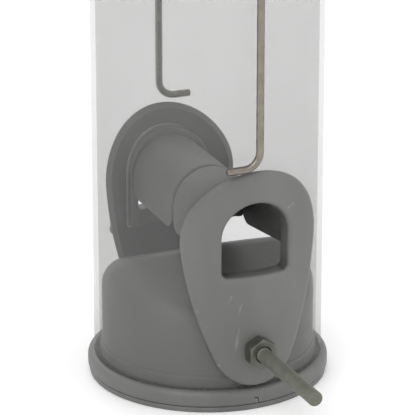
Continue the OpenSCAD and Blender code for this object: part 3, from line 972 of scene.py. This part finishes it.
class FEEDER_OT_make_collar(bpy.types.Operator):
    """Makes the collar at the tube's top, and the screws that hold it"""

    bl_idname = "feeder.make_collar"
    bl_label = "Make Collar"

    def execute(self, context):
        s = sizes()
        tube_r, tube_top = TUBE_HIGH.x, TUBE_HIGH.z
        low, top = COLLAR_LOW.z, COLLAR_HIGH.z
        inner = tube_r + 0.1 * MM
        outer = inner + s.collar_wall
        mouth = tube_r - s.tube_wall - 0.6 * MM
        soft = 0.7 * MM
        line = [(inner, low + 0.3 * MM), (inner + 0.3 * MM, low), (outer - soft, low)]
        line += arc((outer - soft, low + soft), soft, 270, 360, 5)
        line += between((outer, low + soft), (outer, low + 2.2 * MM), 3)[1:]
        line += [(outer - 0.35 * MM, low + 2.6 * MM), (outer - 0.35 * MM, low + 3.2 * MM)]
        line += between((outer, low + 3.6 * MM), (outer, top - soft), 10)
        line += arc((outer - soft, top - soft), soft, 0, 90, 5)
        line += [(mouth + 0.4 * MM, top), (mouth, top - 0.4 * MM), (mouth, tube_top)]
        line += [(inner, tube_top)] + between((inner, tube_top), (inner, low + 0.3 * MM), 10)[1:]
        leg = BAIL_HIGH.y - JOINT_BALL * s.wire / 2
        eye = s.wire / 2 + s.eye_gap + s.eye_wall
        hole = s.wire / 2 + s.eye_gap
        piece = turned("collar_ring", line, 192, [plastic()])
        round_edge = 0.6 * MM
        post = [(0, low), (eye - round_edge, low)]
        post += arc((eye - round_edge, low + round_edge), round_edge, 270, 360, 4)
        post += arc((eye - round_edge, tube_top - round_edge), round_edge, 0, 90, 4)
        post += [(0, tube_top)]
        posts, tools = [], []
        for side in (-1, 1):
            verts, faces = skin(lathe(post, 64, (0, side * leg, 0)))
            posts.append(new_piece("tool", verts, faces, []))
            tools.append(rod_tool(hole, (0, side * leg, low - MM), (0, side * leg, top + MM)))
        cut(piece, posts, "UNION")
        tools.append(rod_tool(inner, (0, 0, low - MM), (0, 0, tube_top), 192))
        screw = (SCREW_LOW.z + SCREW_HIGH.z) / 2
        reach = outer + 2 * MM
        tools.append(rod_tool(1.45 * MM, (-reach, 0, screw), (reach, 0, screw)))
        cut(piece, tools)
        settle(piece, "feeder", "collar")
        self.screws(outer, tube_r - s.tube_wall - MM, screw)
        return {"FINISHED"}

    def screws(self, seat, tip, height):
        """Two pan-head screws with cross recesses, joined into one piece."""
        steel = shared_material(
            "bright_plate", plated_steel, "bright_plate", tuple(colours().screw), 0.25, 0.95
        )
        head, reach, shank = part_size("collar_screws").y / 2, SCREW_HIGH.x, 1.4 * MM
        thick = reach - seat
        line = [(0, tip), (shank * 0.7, tip), (shank, tip + 0.5 * MM)]
        line += between((shank, tip + 0.5 * MM), (shank, seat), 6)[1:] + [(shank, seat)]
        line += [(head - 0.1 * MM, seat), (head, seat + 0.1 * MM), (head, seat + thick * 0.45)]
        for turn in np.linspace(0.25, math.pi / 2, 8):
            line.append((head * math.cos(turn), seat + thick * (0.45 + 0.55 * math.sin(turn))))
        verts, faces = skin(lathe(line, 48, (0, 0, height), "Y"))
        made = []
        for side in (1, -1):
            points = [(side * y, -side * x, z) for x, y, z in verts]
            screw = new_piece("collar_screw_pair" if side == 1 else "tool", points, faces, [steel], 30)
            arm, slot = head * 0.55, head * 0.13
            for wide, tall in ((arm, slot), (slot, arm)):
                outline = [(-wide, -tall), (wide, -tall), (wide, tall), (-wide, tall)]
                bar = [(side * (reach - MM * 0.9), y, height + z) for y, z in outline]
                bar += [(side * (reach + MM), y, height + z) for y, z in outline]
                sides = [(0, 1, 2, 3), (7, 6, 5, 4), (0, 1, 5, 4), (1, 2, 6, 5)]
                sides += [(2, 3, 7, 6), (3, 0, 4, 7)]
                cut(screw, [new_piece("tool", bar, sides, [])], smooth_angle=30)
            made.append(screw)
        pair = cut(made[0], [made[1]], "UNION", 30)
        settle(pair, "feeder", "collar_screws")


# ---------------------------------------------------------------- bail


class FEEDER_OT_make_bail(bpy.types.Operator):
    """Makes the bent wire bail"""

    bl_idname = "feeder.make_bail"
    bl_label = "Make Bail"

    def half_path(self):
        """The wire's middle line from the foot at +Y up to the top of the hump."""
        s = sizes()
        ball = JOINT_BALL * s.wire / 2
        leg, foot, top = BAIL_HIGH.y - ball, BAIL_LOW.z + ball, BAIL_HIGH.z - ball
        pitch, steep = math.radians(18), math.radians(70)
        hump_z = top - s.hump_bend
        both = s.hump_bend + s.hump_foot_bend
        bend = (both * math.sin(steep), hump_z + both * math.cos(steep))
        dip = bend[0] - s.hump_foot_bend * math.sin(pitch)
        slope = leg - s.shoulder_bend * (1 - math.sin(pitch))
        dip_z = bend[1] - s.hump_foot_bend * math.cos(pitch)
        shoulder_z = dip_z - (slope - dip) * math.tan(pitch) - s.shoulder_bend * math.cos(pitch)
        r = s.foot_bend
        flat = [(x, leg, foot) for x in np.linspace(BAIL_HIGH.x, r, 8)[:-1]]
        flat += [(r + x, leg, foot + r + z) for x, z in arc((0, 0), r, 270, 180, 14)]
        run = between((leg, foot + r), (leg, shoulder_z), 60)[1:]
        run += arc((leg - s.shoulder_bend, shoulder_z), s.shoulder_bend, 0, 90 - math.degrees(pitch), 20)
        run += between(run[-1], (dip, dip_z), 8)[1:]
        run += arc(bend, s.hump_foot_bend, 270 - math.degrees(pitch), 270 - math.degrees(steep), 12)
        run += arc((0, hump_z), s.hump_bend, 90 - math.degrees(steep), 90, 16)[1:]
        return [np.array(p) for p in flat] + [np.array((0, y, z)) for y, z in run]

    def execute(self, context):
        s = sizes()
        half = self.half_path()
        other = [np.array((-x, -y, z)) for x, y, z in half]
        path = np.array(half + other[-2::-1])
        tone = tuple(colours().wire)
        steel = shared_material("stainless", drawn_steel, "stainless", tone, 0.16, 1.0, 30, 0.9)
        wire = s.wire / 2
        segments = 32
        run = np.concatenate([[0], np.cumsum(np.linalg.norm(np.diff(path, axis=0), axis=1))])
        tangent = np.gradient(path, run, axis=0)
        tangent /= np.linalg.norm(tangent, axis=1)[:, None]
        side = np.array([0.0, 0.0, 1.0])
        rings, marks = [], []
        # The wire's ends are sheared, so a small round leads into each flat end face.
        caps = [(0.0, 0.0), (0.55, 0.0), (0.86, 0.02), (0.96, 0.10), (1.0, 0.25)]
        for index, (point, along) in enumerate(zip(path, tangent)):
            side = side - along * side.dot(along)
            side /= np.linalg.norm(side)
            up = np.cross(along, side)
            first, last = index == 0, index == len(path) - 1
            steps = caps if first else caps[::-1] if last else [(1.0, 0.0)]
            for share, inset in steps:
                shift = along * inset * MM * (1 if first else -1)
                turn = np.arange(segments) * TURN / segments
                circle = np.cos(turn)[:, None] * side + np.sin(turn)[:, None] * up
                rings.append(point + shift + circle * wire * share)
                marks.append(run[index])
        verts, faces = skin(rings)
        piece = new_piece("bail_wire", verts, faces, [steel], 40)
        self.map_length(piece, path, run)
        settle(piece, "bail", "bail")
        return {"FINISHED"}

    def map_length(self, piece, path, run):
        """A UV map with the distance along the wire as U and the turn about it as V."""
        layer = piece.data.uv_layers.new(name="length")
        places = np.array([v.co for v in piece.data.vertices])
        nearest = np.empty(len(places), int)
        for start in range(0, len(places), 500):
            block = places[start : start + 500, None, :] - path[None]
            nearest[start : start + 500] = np.argmin((block**2).sum(2), axis=1)
        for loop in piece.data.loops:
            vertex = loop.vertex_index
            away = places[vertex] - path[nearest[vertex]]
            turn = math.atan2(away[0], away[1] + away[2]) / TURN
            layer.data[loop.index].uv = (run[nearest[vertex]], turn * 0.01)


# ---------------------------------------------------------------- lid


class FEEDER_OT_make_lid(bpy.types.Operator):
    """Makes the lid that slides on the bail"""

    bl_idname = "feeder.make_lid"
    bl_label = "Make Lid"

    def execute(self, context):
        s = sizes()
        top = LID_HIGH.z
        outer = LID_HIGH.x - 1.4 * MM
        bead = 1.4 * MM
        ring_low = LID_LOW.z
        seat = COLLAR_HIGH.z + 0.2 * MM
        shoulder = top - s.dome_rise
        dome_r = (outer**2 + s.dome_rise**2) / (2 * s.dome_rise)
        centre = top - dome_r
        tube_r = TUBE_HIGH.x
        ring_r = tube_r - s.tube_wall - 0.6 * MM - 0.5 * MM
        skirt = COLLAR_HIGH.z - 7 * MM

        def dome(radius, drop=0.0):
            return centre + math.sqrt(dome_r**2 - radius**2) - drop

        soft = 1.6 * MM
        outside = [(outer - s.lid_wall, skirt), (outer, skirt)]
        outside += arc((outer, skirt + bead), bead, 270, 450, 12)[1:]
        outside += between((outer, skirt + 2 * bead + 0.1 * MM), (outer, shoulder - soft), 4)
        slope = math.degrees(math.asin(outer / dome_r))
        outside += arc((outer - soft, shoulder - soft), soft, 0, 90 - slope * 0.6, 6)
        rib_low, rib_high = outer - 5.2 * MM, outer - 3.8 * MM
        for radius in np.linspace(outer - 2.4 * MM, rib_high, 3):
            outside.append((radius, dome(radius)))
        outside += [(rib_high - 0.15 * MM, dome(rib_high) - 0.35 * MM)]
        outside += [(rib_low + 0.15 * MM, dome(rib_low) - 0.35 * MM)]
        for radius in np.linspace(rib_low, 9.5 * MM, 22):
            outside.append((radius, dome(radius)))
        outside += [(9.0 * MM, dome(9 * MM) - 0.3 * MM), (8.4 * MM, dome(8.4 * MM) - 0.35 * MM)]
        outside += [(4.0 * MM, top - 0.75 * MM), (0.0, top - 0.8 * MM)]
        wall = s.lid_wall
        inside = [(0.0, top - wall - 0.4 * MM)]
        for radius in np.linspace(4 * MM, ring_r - wall, 12):
            inside.append((radius, dome(radius, wall + 0.4 * MM)))
        inside += [(ring_r - wall, ring_low + 0.3 * MM), (ring_r - wall + 0.3 * MM, ring_low)]
        inside += [(ring_r - 0.4 * MM, ring_low), (ring_r, ring_low + 0.4 * MM), (ring_r, seat)]
        inside += [(tube_r - 0.2 * MM, seat), (tube_r, seat + 0.2 * MM)]
        inside += [(tube_r, dome(tube_r, wall))]
        for radius in np.linspace(tube_r + MM, outer - wall, 6)[:-1]:
            inside.append((radius, dome(radius, wall)))
        inside += [(outer - wall, shoulder - wall - 0.6 * MM)]
        piece = turned("lid_cap", outside + inside, 224, [plastic()])
        leg = BAIL_HIGH.y - JOINT_BALL * s.wire / 2
        hole = s.wire / 2 + s.lid_hole_gap
        posts, tools = [], []
        for side in (-1, 1):
            at = (0, side * leg, 0)
            low, high = dome(leg) - 1.5 * MM, dome(leg) + 0.7 * MM
            collar = [(0, low), (hole + 1.7 * MM, low), (hole + 1.5 * MM, high - 0.3 * MM)]
            collar += [(hole + 1.2 * MM, high), (0, high)]
            verts, faces = skin(lathe(collar, 64, at))
            posts.append(new_piece("tool", verts, faces, []))
            tools.append(rod_tool(hole, (0, side * leg, skirt - MM), (0, side * leg, top + MM)))
        cut(piece, posts, "UNION")
        cut(piece, tools)
        settle(piece, "lid", "lid")
        return {"FINISHED"}


# ---------------------------------------------------------------- stage


class FeederStage(bpy.types.PropertyGroup):
    """Where the camera stands, and the light."""

    camera_distance: length("Camera distance", "From the feeder's axis, along the floor", 0.6969)
    camera_height: length("Camera height", "Above the floor", 0.2933)
    camera_heading: bpy.props.FloatProperty(
        name="Camera heading", description="Turn round from the front port, towards -X",
        default=math.radians(23.29), subtype="ANGLE",
    )
    camera_pitch: bpy.props.FloatProperty(
        name="Camera pitch", description="How far the camera looks down",
        default=math.radians(19.48), subtype="ANGLE",
    )
    lens: bpy.props.FloatProperty(
        name="Lens", description="Focal length", default=234.2, min=10.0, max=500.0, unit="CAMERA"
    )
    daylight: bpy.props.FloatProperty(
        name="Daylight", description="Strength of the even light from all round",
        default=0.95, subtype="FACTOR",
    )


class FEEDER_OT_make_stage(bpy.types.Operator):
    """Makes the floor, the lights and the camera"""

    bl_idname = "feeder.make_stage"
    bl_label = "Make Stage"

    def execute(self, context):
        stage = context.scene.feeder_stage
        half = 6.0
        corners = [(-half, -half, 0), (half, -half, 0), (half, half, 0), (-half, half, 0)]
        material = shared_material("floor_paint", floor_paint, colours())
        floor = new_piece("floor", corners, [(0, 1, 2, 3)], [material])
        self.sky(context.scene, stage.daylight)
        self.softbox("key_light", (-0.9, -0.9, 1.5), 1.1, 12.0)
        self.softbox("fill_light", (1.3, -0.7, 1.0), 1.2, 5.0)
        self.softbox("back_light", (0.2, 1.5, 1.2), 1.2, 6.0)
        self.camera(context.scene, stage)
        context.scene.view_settings.view_transform = "Standard"
        return {"FINISHED"}

    def sky(self, scene, strength):
        """Even, nearly white light from all round."""
        world = bpy.data.worlds.new("studio")
        world.use_nodes = True
        world.node_tree.nodes["Background"].inputs["Color"].default_value = (1.0, 1.0, 1.0, 1.0)
        world.node_tree.nodes["Background"].inputs["Strength"].default_value = strength
        scene.world = world

    def softbox(self, name, place, size, power):
        """A large square lamp that faces the feeder."""
        lamp = bpy.data.lights.new(name, "AREA")
        lamp.size = size
        lamp.energy = power
        holder = bpy.data.objects.new(name, lamp)
        aim = Vector((0, 0, 0.12)) - Vector(place)
        holder.location = place
        holder.rotation_euler = aim.to_track_quat("-Z", "Y").to_euler()
        bpy.context.scene.collection.objects.link(holder)

    def camera(self, scene, stage):
        """The camera, a long way off with a long lens, above and to the left of the front port."""
        eye = bpy.data.cameras.new("camera")
        eye.lens = stage.lens
        eye.sensor_width = 36.0
        eye.clip_end = 50.0
        holder = bpy.data.objects.new("camera", eye)
        turn = stage.camera_heading
        far = stage.camera_distance
        holder.location = (-far * math.sin(turn), -far * math.cos(turn), stage.camera_height)
        holder.rotation_euler = (math.pi / 2 - stage.camera_pitch, 0, -turn)
        scene.collection.objects.link(holder)
        scene.camera = holder


# ---------------------------------------------------------------- add-on


MAKERS = (
    FEEDER_OT_make_stage,
    FEEDER_OT_make_tube,
    FEEDER_OT_make_base,
    FEEDER_OT_make_ports,
    FEEDER_OT_make_perch,
    FEEDER_OT_make_collar,
    FEEDER_OT_make_bail,
    FEEDER_OT_make_lid,
)


class FEEDER_PT_panel(bpy.types.Panel):
    """The feeder's makers, sizes and colours"""

    bl_idname = "FEEDER_PT_panel"
    bl_label = "Seed Feeder"
    bl_space_type = "VIEW_3D"
    bl_region_type = "UI"
    bl_category = "Feeder"

    def draw(self, context):
        for maker in MAKERS:
            self.layout.operator(maker.bl_idname)
        for group in (context.scene.feeder_sizes, context.scene.feeder_colours, context.scene.feeder_stage):
            box = self.layout.box()
            for name in group.bl_rna.properties.keys():
                if name not in ("rna_type", "name"):
                    box.prop(group, name)


CLASSES = (FeederSizes, FeederColours, FeederStage, *MAKERS, FEEDER_PT_panel)


def register():
    for item in CLASSES:
        bpy.utils.register_class(item)
    bpy.types.Scene.feeder_sizes = bpy.props.PointerProperty(type=FeederSizes)
    bpy.types.Scene.feeder_colours = bpy.props.PointerProperty(type=FeederColours)
    bpy.types.Scene.feeder_stage = bpy.props.PointerProperty(type=FeederStage)


def unregister():
    del bpy.types.Scene.feeder_stage
    del bpy.types.Scene.feeder_colours
    del bpy.types.Scene.feeder_sizes
    for item in reversed(CLASSES):
        bpy.utils.unregister_class(item)


def main():
    register()
    bpy.ops.feeder.make_stage()
    bpy.ops.feeder.make_tube()
    bpy.ops.feeder.make_base()
    bpy.ops.feeder.make_ports()
    bpy.ops.feeder.make_perch()
    bpy.ops.feeder.make_collar()
    bpy.ops.feeder.make_bail()
    bpy.ops.feeder.make_lid()


if __name__ == "__main__":
    main()
